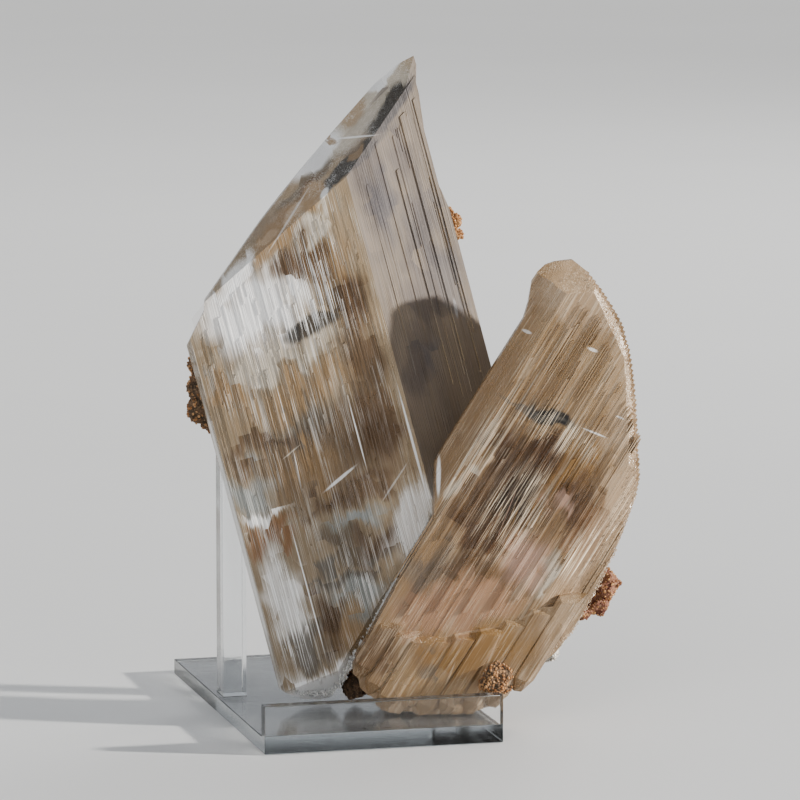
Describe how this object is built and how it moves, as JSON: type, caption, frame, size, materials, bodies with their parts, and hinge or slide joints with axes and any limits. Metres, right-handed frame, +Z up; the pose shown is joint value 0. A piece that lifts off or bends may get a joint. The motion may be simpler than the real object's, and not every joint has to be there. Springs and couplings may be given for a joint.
{
  "type": "selenite crystal specimen on stand",
  "caption": "Pair of intergrown, bladed, see-through selenite crystals with crumbs of brown matrix, leaning on the posts of a clear acrylic stand with a front lip.",
  "frame": {"origin": "centre of the underside of the stand's base plate", "axes": "+X to the right along the front lip, +Y to the back, +Z up"},
  "size_m": [0.1387, 0.133, 0.2086],
  "materials": {
    "selenite": "clear to milky, silky along the striations, smoky honey inside",
    "brown_matrix": "rough, granular, brown with orange grains",
    "red_matrix": "rough, granular, reddish brown",
    "pale_matrix": "rough, greyish white",
    "acrylic": "clear, polished edges"
  },
  "bodies": {
    "root": {"selenite_crystals": "selenite", "matrix_left": "brown_matrix", "matrix_upper_right": "brown_matrix", "matrix_lower_right": "red_matrix", "matrix_knob": "pale_matrix", "matrix_foot": "brown_matrix", "matrix_between": "brown_matrix", "base_plate": "acrylic", "front_lip": "acrylic", "post_left": "acrylic", "post_right": "acrylic"}
  },
  "joints": []
}
